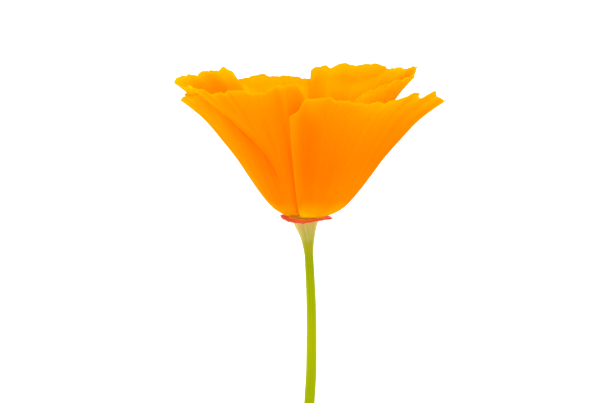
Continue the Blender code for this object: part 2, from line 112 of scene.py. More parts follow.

# One entry for each petal.
#   left, right: (share of its length, azimuth) of its two margins
#   cup: (azimuth, radius, height) of the curved surface that the petal is cut from, at its full length
#   edge: (azimuth, how much of that length is missing at the rim; less than 0 where it is longer)
#   layer: (azimuth, +1 in the outer layer to -1 in the inner one)
#   folds: ((share of its length, azimuth) along it, half-width, how far it stands out, how deep the painted
#       shade in its crease is)
#   the tones of painted light and shade: (azimuth, outside, inside), a deeper orange below 0 for painted
#       shade and a paler one above it for painted light
#   claw: (azimuth, tone) of painted light and shade on the outside just above the torus, a painted
#       highlight above 0 and painted shade below it
PETALS = {
    "petal_inner_left": {
        "left": [(0, -139), (1, -139)],
        "right": [(0, 9), (1, 9)],
        "cup": [
            (-139, 27.6, 31.2), (-125, 29.0, 31.6), (-108, 30.3, 31.8), (-90, 30.9, 31.4),
            (-75, 30.5, 31.9), (-60, 29.8, 32.4), (-30, 28.2, 33.6), (-8, 26.8, 34.9), (9, 26.5, 34.9),
        ],
        "edge": [
            (-139, 1.6), (-136, 0.3), (-132, 0.7), (-127, 0.9), (-121, 0.8), (-115, 1.7), (-110, 1.4),
            (-104, 0.7), (-96, 0.5), (-88, 0.9), (-78, 1.4), (-70, 0.7), (-57, 0.9), (-50, 2.4),
            (-42, 1.8), (-36, 0.5), (-30, 0.8), (-22, 1.9), (-15, 1.1), (-8, 0.2), (-5, 0.9),
            (-3, 2.9), (-1, 5.4), (4, 8.2), (9, 10.6),
        ],
        "layer": [(-139, -1), (-36, -1), (-28, 0), (-24, 0), (-14, -1), (9, -1)],
        "folds": [
            (GROOVE, 8, -1.1, 0),
            ([(0, -112), (1, -124)], 7, -0.8, 0.25),
            ([(0, 2), (1, -5)], 6, -0.5, 0.0),
        ],
        "painted_light": [
            (-139, 0.8, -0.4), (-120, 0.9, -0.6), (-105, 1.0, -0.75), (-85, 1.0, -0.75), (-70, 0.6, -0.3),
            (-58, -0.05, 0), (-20, -0.15, 0), (9, -0.1, 0),
        ],
        "claw": [(-139, 0), (-60, 0), (-40, -0.5), (9, -0.7)],
    },
    "petal_inner_right": {
        "left": [(0, 36), (1, 36)],
        "right": [(0, 178), (1, 178)],
        "cup": [
            (36, 20.4, 33.0), (50, 20.6, 33.2), (66, 22.0, 33.6), (80, 23.9, 34.0), (90, 24.8, 34.2),
            (105, 27.6, 33.4), (120, 29.9, 32.8), (135, 31.6, 32.0), (150, 33.0, 31.4), (165, 29.6, 31.2),
            (182, 27.6, 30.8),
        ],
        "edge": [
            (36, 9.0), (39, 6.6), (43, 4.8), (49, 3.7), (58, 3.2), (66, 2.8), (75, 2.5), (84, 2.8),
            (90, 3.1), (95, 3.3), (100, 3.1), (107, 2.2), (112, 1.4), (117, 0.6), (121, 1.0), (127, 1.6),
            (132, 1.5), (135, 0.8), (138, 1.3), (142, 1.6), (146, 0.9), (151, 0.4), (158, 0.9), (163, 0.8),
            (168, 2.0), (172, 1.3), (175, 1.6), (177, 2.2), (178, 3.2),
        ],
        "layer": [(36, -1), (120, -1), (136, 1), (152, 1), (167, -1), (182, -1)],
        "folds": [
            ([(0, 95), (1, 92)], 8, 1.6, 0), ([(0, 70), (1, 66)], 9, -0.5, 0),
            ([(0, 140), (1, 144)], 8, 0.5, 0),
        ],
        "painted_light": [
            (36, 1.8, 0), (80, 1.7, -0.8), (110, 0.7, -1.0), (130, 0.2, -0.8), (142, 0, -0.4),
            (153, 0, 0.25), (165, 0, -0.05), (178, 0, -0.25),
        ],
        "claw": [(36, 0), (178, 0)],
    },
    "petal_outer_right": {
        "left": [(0, -14), (0.15, -14), (0.35, -13), (0.55, -12), (0.75, -10.5), (0.9, -9.5), (1, -9)],
        "right": [(0, 118), (1, 118)],
        "cup": [
            (-9, 26.6, 33.1), (30, 28.9, 32.0), (60, 30.2, 31.4), (74, 31.6, 30.1), (84, 32.4, 28.5),
            (100, 32.4, 28.3), (118, 31.8, 28.4),
        ],
        "edge": [
            (-9, 8.6), (-7.5, 7.5), (-4.5, 6.6), (-2.8, 5.2), (-1.6, 2.3), (0, 0.5), (5, 0.1), (10, -0.4),
            (15, 0.1), (20, 1.2), (30, 1.9), (37, 1.7), (43, 0.7), (47, 0.0), (50, -0.9), (52, -2.0),
            (53.5, -1.9), (55.5, -1.0), (58, 0.2), (61, 1.5), (62.6, 1.8), (63.9, -1.5), (65.8, -1.6),
            (68.3, -0.3), (70.5, 0.6), (74, 0.9), (78, 1.2), (84, 1.2), (90, 1.8), (96, 2.8), (104, 4.2),
            (112, 5.8), (118, 9.0),
        ],
        "layer": [(-9, 1), (118, 1)],
        "folds": [
            ([(0, 84), (1, 76)], 8, 0.3, 0), ([(0, 66), (1, 60)], 9, -0.4, 0),
            ([(0, -6), (1, -4)], 4, 0.35, 0), ([(0, 12), (1, 12)], 12, -0.08, 0),
        ],
        "painted_light": [
            (-14, 0.9, 0), (-9, 0.45, 0), (-4, 0.1, 0), (2, -0.1, 0), (8, -0.12, 0), (14, -0.22, 0),
            (22, -0.12, 0), (30, 0.05, 0), (40, 0.2, 0), (58, 0.25, 0), (80, 0.2, 0), (118, 0, 0),
        ],
        "claw": [(-14, 0.9), (-4, 0.5), (12, 0), (118, 0)],
    },
    "petal_outer_left": {
        "left": [(0, -190), (1, -190)],
        "right": [(0, -31), (0.3, -32), (0.5, -40), (0.7, -55), (0.85, -66), (1, -71)],
        "cup": [
            (-190, 27.5, 29.0), (-175, 27.0, 29.0), (-160, 28.8, 29.2), (-148, 31.2, 28.7),
            (-125, 31.0, 28.8), (-100, 29.3, 28.3), (-88, 28.6, 28.2), (-80, 28.2, 29.4),
            (-73, 28.3, 30.7), (-66, 28.3, 31.3), (-35, 27.6, 32.6),
        ],
        "edge": [
            (-190, 6.0), (-186, 2.6), (-180, 1.5), (-174, 1.0), (-171, 0.4), (-163, 1.1), (-158, 0.4),
            (-150, 1.3), (-143, 1.8), (-130, 1.0), (-118, 1.4), (-106, 0.9), (-95, 1.0), (-85, 0.6),
            (-80, 0.5), (-76, 1.2), (-70, 2.0),
        ],
        "layer": [(-190, 1), (-52, 1), (-42, 0.25), (-36, -0.05), (-31, 0.0)],
        "folds": [
            (GROOVE, 8, -1.2, 0),
            ([(0, -88), (1, -84)], 8, 0.6, 0), ([(0, -104), (1, -102)], 8, -0.5, 0),
            ([(0, -160), (1, -156)], 9, 0.4, 0),
        ],
        "painted_light": [(-190, 0, 0), (-110, 0.2, 0), (-84, 1.0, 0), (-60, 0.45, 0), (-37, 0.1, 0)],
        "claw": [(-190, 0), (-60, 0), (-31, -0.2)],
    },
}

# Torus.
TORUS_SEED = 31
TORUS_SIDES = 144
RIM_RADIUS = 6.1
RIM_THICKNESS = 0.6
BOSS_RADIUS = 2.2
BOSS_TOP = 1.9
SEAT_GAP = 0.3  # between one piece and the piece that it is seated on

# (azimuth, height) and (azimuth, further out) of the rim's edge, and the radius where both set in.
RIM_EDGE = [
    (-180, 0.1), (-135, 0.35), (-90, 0.3), (-50, -0.1), (-15, -0.35), (35, 0.3), (90, -0.15), (180, 0.1),
]
RIM_REACH = [
    (-180, -0.5), (-110, -0.3), (-88, 0.0), (78, 0.0), (87, 0.15), (97, -0.2), (125, -0.5), (180, -0.5),
]
RIM_SETS_IN = 3.0
RIM_WAVES = [(36.0, 0.05), (20.0, 0.05), (9.0, 0.03)]  # (length in degrees, size)
RIM_TRIM = 0.05  # keeps the waves inside the rim's radius

# (radius, height, share of the way from boss to edge in its colours) round the torus's section.
TORUS_PROFILE = [
    (2.6, -RIM_THICKNESS, 0.0), (4.2, -RIM_THICKNESS + 0.1, 0.35), (5.2, -RIM_THICKNESS + 0.32, 0.75),
    (RIM_RADIUS - 0.12, -0.13, 0.95), (RIM_RADIUS, -0.08, 1.0), (RIM_RADIUS - 0.1, -0.03, 0.97),
    (5.3, 0.0, 0.8), (4.2, 0.0, 0.5), (BOSS_RADIUS + 0.3, 0.0, 0.2), (BOSS_RADIUS + 0.05, 0.1, 0.1),
    (BOSS_RADIUS, 0.3, 0.05), (BOSS_RADIUS, BOSS_TOP - 0.1, 0.0), (BOSS_RADIUS - 0.1, BOSS_TOP, 0.0),
]

# Stem. Its pairs give the way down from the torus, and the radius or the bend to the right there.
STEM_LENGTH = 92.0
STEM_RINGS = 260
STEM_CROWDING = 1.5  # above 1, the rings lie closer together towards the torus
STEM_SIDES = 64
STEM_RIDGES = 8
STEM_RIDGE = 0.03  # how far a ridge stands out, as a share of the radius
STEM_RIDGE_PHASE = 0.4  # where the ridges start, in radians of one ridge's wave
STEM_RADII = [
    (0, 2.9), (0.5, 2.72), (1.0, 2.55), (2.0, 2.18), (3.6, 1.68), (5.9, 1.22), (8.2, 1.0), (12, 1.01),
    (18.6, 1.07), (30, 1.16), (42, 1.2), (92, 1.22),
]
STEM_SIDE = [
    (0, -0.15), (1.0, -0.08), (3.6, 0.24), (5.9, 0.4), (8.2, 0.55), (14, 0.86), (18.6, 1.05), (25.5, 1.18),
    (34.7, 1.12), (42, 0.75), (60, -0.4), (92, -2.4),
]
STEM_END_SLOPE = 0.1  # how steeply it comes down to its cut end
STEM_END_PRESS = 0.94  # the height of the cut end's middle, as a share of its radius

# Stamens. Shares are of a stamen's length.
STAMEN_SEED = 7
STAMEN_WHORLS = [  # how many, how far from the axis, lean, length
    (9, 1.2, 10.0, 9.0), (13, 1.45, 21.0, 10.2), (16, 1.7, 31.0, 11.0),
]
WHORL_TURN = 0.33  # how far each whorl is turned, as a share of its spacing
STAMEN_AZIMUTH_SPREAD = 3.0
STAMEN_LEAN_SPREAD = 1.5
STAMEN_BOW = 0.02  # how far a stamen arches
RING_RADIUS = 1.5
RING_TUBE_RADIUS = 0.34
RING_STEPS = 48
RING_SIDES = 8
FOOT_HEIGHT = 0.35  # of the ring's middle above the ring's lowest level
FILAMENT_END = 0.44
FILAMENT_RADII = [0.24, 0.2, 0.17, 0.15, 0.14, 0.13, 0.12]
FILAMENT_SIDES = 8
ANTHER_START = 0.38
ANTHER_RADIUS = 0.3
ANTHER_TIP = 0.1  # an anther's fullness is a sine from this share of half a turn, over this span of it
ANTHER_SPAN = 0.85
ANTHER_BLUNTNESS = 0.45
ANTHER_STEPS = 12
ANTHER_SIDES = 10
ANTHER_SQUASH = 0.85
LOBE_ASIDE = 0.19  # from an anther's middle to the middle of each of its two lobes

# Pistil. Shares are of its height, or of a lobe's length.
PISTIL_HEIGHT = 10.0
PISTIL_RADII = [(0, 0.5), (0.15, 0.52), (0.45, 0.75), (0.8, 0.6), (1.0, 0.42)]
PISTIL_STEPS = 30
PISTIL_SIDES = 60
PISTIL_RIBS = 10
PISTIL_RIB = 0.05  # how far a rib stands out, as a share of the radius
STIGMA_LOBES = [(12, 5.2), (88, 4.2), (160, 5.6), (235, 4.0), (300, 4.8)]  # (azimuth, length)
STIGMA_OUT = 52.0  # degrees from the axis
STIGMA_FOOT = 0.35  # how far below the pistil's top a lobe starts
STIGMA_BOW = 0.12  # how far a lobe arches
STIGMA_RADIUS = 0.3
STIGMA_NARROWS = 0.55  # the share of its radius that a lobe loses by its tip
STIGMA_STEPS = 16
STIGMA_SIDES = 12

# Light, camera and floor, in metres.
WORLD_STRENGTH = 0.95
LIGHTS = [  # name, place, size, power
    ("softbox_mouth", (0.1, 0.85, 0.75), 0.9, 9.0),
    ("softbox_side", (-0.7, 0.1, 0.5), 0.6, 1.0),
]
LIGHTS_AIM = Vector((0.0, 0.04, 0.02))
FLOOR_HALF = 1.5
WIDTH_SEEN = 0.1408  # across the picture, at the torus
LENS = 200.0
SENSOR = 36.0
NEAREST_SEEN = 0.01
AHEAD_OF_TORUS = 0.0034  # the picture's centre, from the torus towards the mouth
SIDE_OF_TORUS = -0.00012


# Curves and meshes.


def smooth_step(x, start, end):
    """0 up to start, 1 from end on, and a smooth rise between them."""
    t = np.clip((np.asarray(x, float) - start) / (end - start), 0.0, 1.0)
    return t * t * (3.0 - 2.0 * t)


def between(t, width, start, end, start_slope, end_slope):
    """A smooth curve's height at t (0 to 1) across a width, from its heights and slopes at both ends."""
    return (
        (2 * t**3 - 3 * t**2 + 1) * start
        + (t**3 - 2 * t**2 + t) * width * start_slope
        + (3 * t**2 - 2 * t**3) * end
        + (t**3 - t**2) * width * end_slope
    )


def smooth_curve(points):
    """A smooth function through (x, y) points which never passes above or below its neighbours."""
    xs = np.array([p[0] for p in points], float)
    ys = np.array([p[1] for p in points], float)
    rises = np.diff(ys) / np.diff(xs)
    before, after = rises[:-1], rises[1:]
    same_way = before * after > 0
    total = np.where(same_way, before + after, 1.0)
    inner = np.where(same_way, 2 * before * after / total, 0.0)
    slopes = np.concatenate([rises[:1], inner, rises[-1:]])

    def value(x):
        x = np.clip(np.asarray(x, float), xs[0], xs[-1])
        i = np.clip(np.searchsorted(xs, x) - 1, 0, len(xs) - 2)
        width = xs[i + 1] - xs[i]
        return between((x - xs[i]) / width, width, ys[i], ys[i + 1], slopes[i], slopes[i + 1])

    return value


def curve_of(table, column):
    """The smooth function that one of a table's columns gives over its first column."""
    return smooth_curve([(row[0], row[column]) for row in table])


def waves(x, random, lengths):
    """A sum of sine waves of the given (length, size), with random phases."""
    total = np.zeros_like(x)
    for length, size in lengths:
        total += size * np.sin(2 * math.pi * x / length + random.uniform(0, 2 * math.pi))
    return total


def flower_matrix():
    """From the flower's own frame, in metres, to the part's frame."""
    return Matrix.Translation(TORUS_AT) @ Matrix.Rotation(AXIS_RISE - math.pi / 2, 4, "X")


def to_part(points):
    """Points in millimetres in the flower's frame, as metres in the part's frame."""
    matrix = np.array(flower_matrix())
    return points * MM @ matrix[:3, :3].T + matrix[:3, 3]


def around_axis(azimuth, radius, height):
    """Points at an azimuth, a radius from the flower's axis and a height along it."""
    turned = np.radians(azimuth)
    return np.stack([radius * np.sin(turned), -radius * np.cos(turned), height], axis=1)


def ring_faces(rings, sides, first=0):
    """The faces that close rings of points into a shape with flat ends."""
    faces = []
    for row in range(rings - 1):
        for side in range(sides):
            a = first + row * sides + side
            b = first + row * sides + (side + 1) % sides
            faces.append((a, b, b + sides, a + sides))
    faces.append(tuple(range(first + sides - 1, first - 1, -1)))
    last = first + (rings - 1) * sides
    faces.append(tuple(range(last, last + sides)))
    return faces


def sheet_faces(columns, rows):
    """The faces of a closed sheet, whose inner points follow its outer ones."""
    count = (columns + 1) * (rows + 1)
    faces = []
    for row in range(rows):
        for column in range(columns):
            a = row * (columns + 1) + column
            b = a + 1
            c = a + columns + 2
            d = a + columns + 1
            faces.append((a, b, c, d))
            faces.append((count + a, count + d, count + c, count + b))
    outline = list(range(columns + 1))
    outline += [row * (columns + 1) + columns for row in range(1, rows + 1)]
    outline += [rows * (columns + 1) + column for column in range(columns - 1, -1, -1)]
    outline += [row * (columns + 1) for row in range(rows - 1, 0, -1)]
    for a, b in zip(outline, outline[1:] + outline[:1]):
        faces.append((a, count + a, count + b, b))
    return faces


def grid_normals(points, columns, rows):
    """The unit normals of a sheet whose points are in rows from the torus up."""
    grid = points.reshape(rows + 1, columns + 1, 3)
    normal = np.cross(np.gradient(grid, axis=1), np.gradient(grid, axis=0)).reshape(-1, 3)
    return normal / np.linalg.norm(normal, axis=1)[:, None]


def add_piece(name, points, faces, material, node):
    """Adds a mesh in the part's frame which stands for a node of the frame."""
    mesh = bpy.data.meshes.new(name)
    mesh.from_pydata([tuple(p) for p in points], [], faces)
    mesh.update()
    mesh.shade_smooth()
    mesh.set_sharp_from_angle(angle=math.radians(SHARP_ANGLE))
    mesh.materials.append(material)
    made = bpy.data.objects.new(name, mesh)
    bpy.context.scene.collection.objects.link(made)
    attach(made, "root")
    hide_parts(node)
    return made


def set_uv(mesh, name, coordinates):
    """Writes one (u, v) pair for each vertex of a mesh."""
    corners = np.zeros(len(mesh.loops), int)
    mesh.loops.foreach_get("vertex_index", corners)
    layer = mesh.uv_layers.new(name=name)
    layer.data.foreach_set("uv", coordinates[corners].astype(np.float32).ravel())


class Parts:
    """Gathers several closed shapes into one mesh."""

    def __init__(self):
        self.points = []
        self.faces = []
        self.uv = []

    def tube(self, centres, radii, sides, ridges=0, ridge=0.0, squash=1.0, phase=0.0):
        """A closed tube with flat ends. Ridges run along it, and squash flattens it one way."""
        first = len(self.points)
        across = Vector((1.0, 0.0, 0.0))
        count = len(centres)
        for i, centre in enumerate(centres):
            ahead = (centres[min(i + 1, count - 1)] - centres[max(i - 1, 0)]).normalized()
            across = (across - ahead * across.dot(ahead)).normalized()
            up = ahead.cross(across)
            for side in range(sides):
                angle = 2 * math.pi * side / sides
                reach = radii[i] * (1 + ridge * math.cos(ridges * angle + phase))
                offset = across * math.cos(angle) * squash + up * math.sin(angle)
                self.points.append(centre + offset * reach)
                self.uv.append((side / sides, i / (count - 1)))
        self.faces += ring_faces(count, sides, first)


# Materials.


class Nodes:
    """A short way to build a material's nodes."""

    def __init__(self, name):
        self.material = bpy.data.materials.new(name)
        self.material.use_nodes = True
        self.tree = self.material.node_tree
        self.shader = self.tree.nodes["Principled BSDF"]
        self.output = self.tree.nodes["Material Output"]

    def add(self, kind, **settings):
        node = self.tree.nodes.new(kind)
        for key, value in settings.items():
            setattr(node, key, value)
        return node

    def link(self, start, end):
        self.tree.links.new(start, end)

    def uv(self, name):
        """A UV map's coordinates."""
        return self.add("ShaderNodeUVMap", uv_map=name).outputs["UV"]

    def split(self, vector):
        """The three parts of a vector."""
        node = self.add("ShaderNodeSeparateXYZ")
        self.link(vector, node.inputs[0])
        return node.outputs

    def stretch(self, vector, scale, location=(0.0, 0.0, 0.0)):
        node = self.add("ShaderNodeMapping")
        self.link(vector, node.inputs["Vector"])
        node.inputs["Scale"].default_value = scale
        node.inputs["Location"].default_value = location
        return node.outputs["Vector"]

    def noise(self, vector, scale, detail=3.0, roughness=0.55):
        node = self.add("ShaderNodeTexNoise")
        self.link(vector, node.inputs["Vector"])
        node.inputs["Scale"].default_value = scale
        node.inputs["Detail"].default_value = detail
        node.inputs["Roughness"].default_value = roughness
        return node.outputs["Fac"]

    def math(self, operation, a, b, c=0.0):
        node = self.add("ShaderNodeMath", operation=operation)
        for socket, value in zip(node.inputs, (a, b, c)):
            if isinstance(value, (int, float)):
                socket.default_value = value
            else:
                self.link(value, socket)
        return node.outputs[0]

    def ramp(self, factor, stops):
        """stops: (position, (r, g, b))."""
        node = self.add("ShaderNodeValToRGB")
        elements = node.color_ramp.elements
        node.color_ramp.interpolation = "EASE"
        while len(elements) < len(stops):
            elements.new(0.5)
        for element, (position, colour) in zip(elements, stops):
            element.position = position
            element.color = (*colour, 1.0)
        self.link(factor, node.inputs["Fac"])
        return node.outputs["Color"]

    def mix(self, factor, a, b, blend="MIX"):
        node = self.add("ShaderNodeMix", data_type="RGBA", blend_type=blend)
        for socket, value in ((node.inputs[0], factor), (node.inputs[6], a), (node.inputs[7], b)):
            if isinstance(value, (int, float)):
                socket.default_value = value
            elif isinstance(value, tuple):
                socket.default_value = (*value, 1.0)
            else:
                self.link(value, socket)
        return node.outputs[2]

    def bump(self, height, distance):
        node = self.add("ShaderNodeBump")
        node.inputs["Distance"].default_value = distance
        node.inputs["Strength"].default_value = 1.0
        self.link(height, node.inputs["Height"])
        return node.outputs["Normal"]

    def through(self, colour, share, normal):
        """Lets a share of the light through, tinted."""
        glow = self.add("ShaderNodeBsdfTranslucent")
        self.link(colour, glow.inputs["Color"])
        self.link(normal, glow.inputs["Normal"])
        both = self.add("ShaderNodeMixShader")
        both.inputs["Fac"].default_value = share
        self.link(self.shader.outputs["BSDF"], both.inputs[1])
        self.link(glow.outputs["BSDF"], both.inputs[2])
        self.link(both.outputs["Shader"], self.output.inputs["Surface"])


def petal_material(name, seed, width):
    """Satin petal tissue: yellow at the claw, deep orange above it and golden at the thin rim, with fine
    fanned veins. Its deeper orange towards the base is partly painted shade, its golden rim partly painted
    light, and tones of painted light and shade and painted shade in its creases lie over it. width is the
    petal's, in degrees."""
    n = Nodes(name)
    place = n.uv("Petal")
    _, up, _ = n.split(place)

    def fanned(fineness, shift, detail, roughness):
        scale = (fineness[0] * width, fineness[1], 1.0)
        return n.noise(n.stretch(place, scale, (seed + shift, 0.0, 0.0)), 1.0, detail, roughness)

    veins = fanned(VEINS, 0.0, 4.0, 0.6)
    broad = fanned(STREAKS, 3.0, 2.0, 0.5)
    patch = fanned(PATCHES, 7.0, 2.0, 0.5)
    height = n.math("MULTIPLY_ADD", n.math("SUBTRACT", patch, 0.5), 0.16, up)
    # The outer face deepens from the rim down to its middle: partly the petal's own colour and partly
    # painted shade where more layers lie behind it.
    outside = n.ramp(height, [
        (0.0, (0.97, 0.8, 0.0)), (0.07, (0.97, 0.82, 0.0)), (0.14, (0.97, 0.54, 0.0)),
        (0.23, (0.97, 0.35, 0.0)), (0.5, (0.97, 0.3, 0.0)), (0.85, (0.97, 0.335, 0.0)),
        (1.0, (0.97, 0.365, 0.0)),
    ])
    inside = n.ramp(height, [
        (0.0, (0.98, 0.28, 0.0)), (0.4, (0.98, 0.26, 0.0)), (0.7, (0.98, 0.25, 0.0)),
        (0.85, (0.98, 0.44, 0.0)), (1.0, (0.98, 0.72, 0.0)),
    ])
    glow = n.ramp(height, [
        (0.0, (1.0, 0.5, 0.0)), (0.3, (1.0, 0.45, 0.0)), (0.8, (1.0, 0.5, 0.0)), (1.0, (1.0, 0.56, 0.0)),
    ])
    streaks = n.ramp(n.math("MULTIPLY_ADD", broad, 0.5, n.math("MULTIPLY", veins, 0.5)), [
        (0.3, (1.0, 0.95, 1.0)), (0.7, (1.0, 1.04, 1.0)),
    ])
    # A pale line along the rim: partly its own colour and partly a painted highlight on the thin, lit edge.
    below = n.math("MULTIPLY", n.math("SUBTRACT", 1.0, up), PETAL_LENGTH)
    rim = n.add("ShaderNodeMapRange", interpolation_type="SMOOTHSTEP")
    n.link(below, rim.inputs["Value"])
    rim.inputs["From Min"].default_value = PALE_RIM_STARTS
    rim.inputs["From Max"].default_value = PALE_RIM_FULL
    pale = n.math("MULTIPLY", rim.outputs["Result"], PALE_RIM_SHARE)
    painted_light, side, _ = n.split(n.uv("Tone"))
    # Painted light and shade: more green makes an orange paler, so a tone of NO_TONE keeps what it has, and
    # one of 1 doubles it.
    shade = n.mix(painted_light, (1.0, 0.0, 1.0), (1.0, 2.0, 1.0))
    shade = n.mix(1.0, shade, streaks, "MULTIPLY")
    base = n.mix(pale, n.mix(1.0, n.mix(side, outside, inside), shade, "MULTIPLY"), (1.0, 0.5, 0.0))
    glow = n.mix(pale, n.mix(1.0, glow, shade, "MULTIPLY"), (1.0, 0.66, 0.0))
    n.link(base, n.shader.inputs["Base Color"])
    n.shader.inputs["Roughness"].default_value = 0.6
    n.shader.inputs["Specular IOR Level"].default_value = 0.0
    n.shader.inputs["Sheen Weight"].default_value = 0.35
    n.shader.inputs["Sheen Roughness"].default_value = 0.35
    n.shader.inputs["Sheen Tint"].default_value = (1.0, 0.6, 0.0, 1.0)
    normal = n.bump(veins, 0.00006)
    n.link(normal, n.shader.inputs["Normal"])
    n.through(glow, 0.5, normal)
    return n.material


def torus_material():
    """The fleshy red rim: coral, paler and waxy at its thin edge, and yellow-orange towards the boss, which
    is partly its own colour and partly painted light that lifts the shade under the petals.
    """
    n = Nodes("torus_coral")
    place = n.uv("Ring")
    _, out, _ = n.split(place)
    mottle = n.noise(n.stretch(place, (26.0, 4.0, 1.0)), 1.0, 3.0)
    level = n.math("MULTIPLY_ADD", n.math("SUBTRACT", mottle, 0.5), 0.3, out)
    # Yellow-orange towards the boss: partly its own colour under the petals' bases and partly painted light
    # that lifts the shade there.
    colour = n.ramp(level, [
        (0.0, (1.0, 0.8, 0.1)), (0.35, (1.0, 0.6, 0.08)), (0.6, (0.9, 0.27, 0.13)),
        (0.9, (0.84, 0.22, 0.17)), (1.0, (0.95, 0.42, 0.34)),
    ])
    n.link(colour, n.shader.inputs["Base Color"])
    n.shader.inputs["Roughness"].default_value = 0.42
    n.shader.inputs["Specular IOR Level"].default_value = 0.4
    n.shader.inputs["Subsurface Weight"].default_value = 0.15
    n.shader.inputs["Subsurface Scale"].default_value = 0.0006
    normal = n.bump(mottle, 0.00006)
    n.link(normal, n.shader.inputs["Normal"])
    n.through(colour, 0.5, normal)
    return n.material


def stem_material():
    """Smooth green peduncle with fine pale lines, running up into the cream-coloured funnel."""
    n = Nodes("stem_green")
    place = n.uv("Stem")
    _, down, _ = n.split(place)
    lines = n.noise(n.stretch(place, (22.0, 1.4, 1.0)), 1.0, 3.0, 0.6)
    mottle = n.noise(n.stretch(place, (8.0, 60.0, 1.0)), 1.0, 3.0, 0.6)
    shift = n.math("MULTIPLY_ADD", n.math("SUBTRACT", mottle, 0.5), 0.02, down)
    along = n.ramp(shift, [
        (0.0, (0.64, 0.48, 0.13)), (0.017, (0.58, 0.45, 0.11)), (0.035, (0.5, 0.44, 0.085)),
        (0.06, (0.39, 0.37, 0.012)), (0.1, (0.31, 0.36, 0.001)), (0.2, (0.33, 0.39, 0.0)),
        (0.28, (0.36, 0.41, 0.0)), (0.45, (0.31, 0.37, 0.0)), (1.0, (0.31, 0.37, 0.0)),
    ])
    stripes = n.ramp(lines, [(0.32, (0.66, 0.7, 0.6)), (0.5, (0.96, 0.98, 0.9)), (0.72, (1.14, 1.1, 1.3))])
    colour = n.mix(0.8, along, stripes, "MULTIPLY")
    n.link(colour, n.shader.inputs["Base Color"])
    n.shader.inputs["Roughness"].default_value = 0.5
    n.shader.inputs["Specular IOR Level"].default_value = 0.02
    n.link(n.bump(lines, 0.00012), n.shader.inputs["Normal"])
    return n.material


def stamen_material():
    """Orange filaments with powdery golden anthers."""
    n = Nodes("stamen_gold")
    place = n.uv("Along")
    _, up, _ = n.split(place)
    coordinates = n.add("ShaderNodeTexCoord").outputs["Object"]
    grain = n.noise(coordinates, 5000.0, 3.0, 0.7)
    colour = n.ramp(up, [
        (0.0, (0.6, 0.2, 0.01)), (0.3, (0.85, 0.28, 0.01)), (0.42, (0.93, 0.45, 0.03)),
        (1.0, (0.96, 0.52, 0.05)),
    ])
    n.link(n.mix(n.math("MULTIPLY", grain, 0.5), colour, (0.9, 0.38, 0.02)), n.shader.inputs["Base Color"])
    n.shader.inputs["Roughness"].default_value = 0.85
    n.shader.inputs["Specular IOR Level"].default_value = 0.2
    n.link(n.bump(grain, 0.00004), n.shader.inputs["Normal"])
    return n.material


def pistil_material():
    """A green-yellow ribbed ovary, running out into pale orange stigma lobes."""
    n = Nodes("pistil_green")
    place = n.uv("Along")
    _, up, _ = n.split(place)
    coordinates = n.add("ShaderNodeTexCoord").outputs["Object"]
    grain = n.noise(coordinates, 3500.0, 3.0, 0.6)
    colour = n.ramp(up, [
        (0.0, (0.5, 0.55, 0.1)), (0.5, (0.6, 0.62, 0.14)), (0.9, (0.72, 0.62, 0.15)),
        (1.0, (0.86, 0.55, 0.08)),
    ])
    n.link(n.mix(n.math("MULTIPLY", grain, 0.3), colour, (0.75, 0.7, 0.3)), n.shader.inputs["Base Color"])
    n.shader.inputs["Roughness"].default_value = 0.5
    n.link(n.bump(grain, 0.00003), n.shader.inputs["Normal"])
    return n.material


def floor_material():
    """Plain white paper, which glows a little."""
    n = Nodes("floor_white")
    coordinates = n.add("ShaderNodeTexCoord").outputs["Object"]
    grain = n.noise(coordinates, 900.0, 4.0)
    colour = n.ramp(grain, [(0.3, (0.9, 0.9, 0.9)), (0.7, (0.93, 0.93, 0.93))])
    n.link(colour, n.shader.inputs["Base Color"])
    n.shader.inputs["Roughness"].default_value = 0.9
    n.shader.inputs["Specular IOR Level"].default_value = 0.1
    n.shader.inputs["Emission Color"].default_value = (1.0, 1.0, 1.0, 1.0)
    n.shader.inputs["Emission Strength"].default_value = 0.75
    return n.material


# Pieces.


def petal_middle(petal, across, up, ragged):
    """Points in millimetres, in the flower's frame, on a petal's middle surface, with each point's azimuth,
    share of the petal's length, and how much painted shade deepens its colour in a fold (0 to 1). across
    runs from the left margin to the right one, up from the claw to the rim, and ragged is cut from the rim."""
    left = smooth_curve(petal["left"])
    right = smooth_curve(petal["right"])
    rim_azimuth = left(1.0) + (right(1.0) - left(1.0)) * across
    edge = smooth_curve(petal["edge"])(rim_azimuth) + ragged
    share = up * (1.0 - edge / PETAL_LENGTH)
    azimuth = left(share) + (right(share) - left(share)) * across
    full_radius = curve_of(petal["cup"], 1)(azimuth)
    full_height = curve_of(petal["cup"], 2)(azimuth)
    radius = CLAW_RADIUS + (full_radius - CLAW_RADIUS) * curve_of(PETAL_CURVE, 1)(share)
    height = CLAW_HEIGHT + (full_height - CLAW_HEIGHT) * curve_of(PETAL_CURVE, 2)(share)
    crease_shade = np.zeros_like(share)
    for path, half_width, amount, crease_shade_depth in petal["folds"]:
        line = smooth_curve(path)(share)
        fold = np.exp(-(((azimuth - line) / half_width) ** 2))
        radius = radius + amount * fold * smooth_step(share, *FOLD_SETS_IN)
        # Painted shade: a fold's crease is coloured a deeper orange, standing in for the shade that falls
        # in it.
        crease_shade = np.maximum(crease_shade, crease_shade_depth * fold * smooth_step(share, *CREASE_SHADE_SETS_IN))
    return around_axis(azimuth, radius, height), azimuth, share, crease_shade


def layer_at(petal, azimuth):
    """Which layer a petal lies in at each azimuth."""
    steps = petal["layer"]
    layer = np.full_like(azimuth, float(steps[0][1]))
    for (start, before), (end, after) in zip(steps, steps[1:]):
        layer += (after - before) * smooth_step(azimuth, start, end)
    return layer


